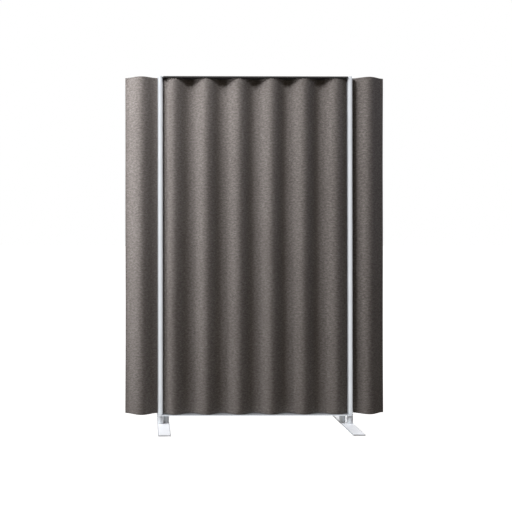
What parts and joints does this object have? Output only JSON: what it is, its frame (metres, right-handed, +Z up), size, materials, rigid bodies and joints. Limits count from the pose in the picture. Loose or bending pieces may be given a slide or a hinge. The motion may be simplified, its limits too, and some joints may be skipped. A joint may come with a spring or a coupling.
{
  "type": "free-standing felt room screen",
  "caption": "Tall wavy felt sheet pinched between pairs of round posts, on flat foot plates that run front to back, with a flat bar along its top and bottom edges.",
  "frame": {"origin": "on the floor, midway between the front and rear posts and midway between the two feet", "axes": "+Z up; the front faces -Y; +X to the right of someone who looks at the front"},
  "size_m": [1.201, 0.37, 1.6083],
  "materials": {
    "felt": "warm grey melange pressed felt",
    "silver": "satin light silver coating",
    "black": "matt black coating",
    "white": "satin near-white coating",
    "steel": "zinc plated",
    "glide": "dark grey"
  },
  "bodies": {
    "root": {"felt_sheet": "felt", "bottom_rail": "silver", "top_rail": "black", "foot_plate_left": "white", "foot_plate_right": "white", "glide_front_left": "glide", "glide_front_right": "glide", "glide_rear_left": "glide", "glide_rear_right": "glide", "spacer_front_left": "silver", "spacer_front_right": "silver", "spacer_rear_left": "silver", "spacer_rear_right": "silver", "post_front_left": "silver", "post_front_right": "silver", "post_rear_left": "silver", "post_rear_right": "silver", "bottom_plug_front_left": "steel", "bottom_plug_front_right": "steel", "bottom_plug_rear_left": "steel", "bottom_plug_rear_right": "steel", "top_plug_front_left": "steel", "top_plug_front_right": "steel", "top_plug_rear_left": "steel", "top_plug_rear_right": "steel", "foot_screw_front_left": "steel", "foot_screw_front_right": "steel", "foot_screw_rear_left": "steel", "foot_screw_rear_right": "steel", "top_screw_front_left": "steel", "top_screw_front_right": "steel", "top_screw_rear_left": "steel", "top_screw_rear_right": "steel"}
  },
  "joints": []
}
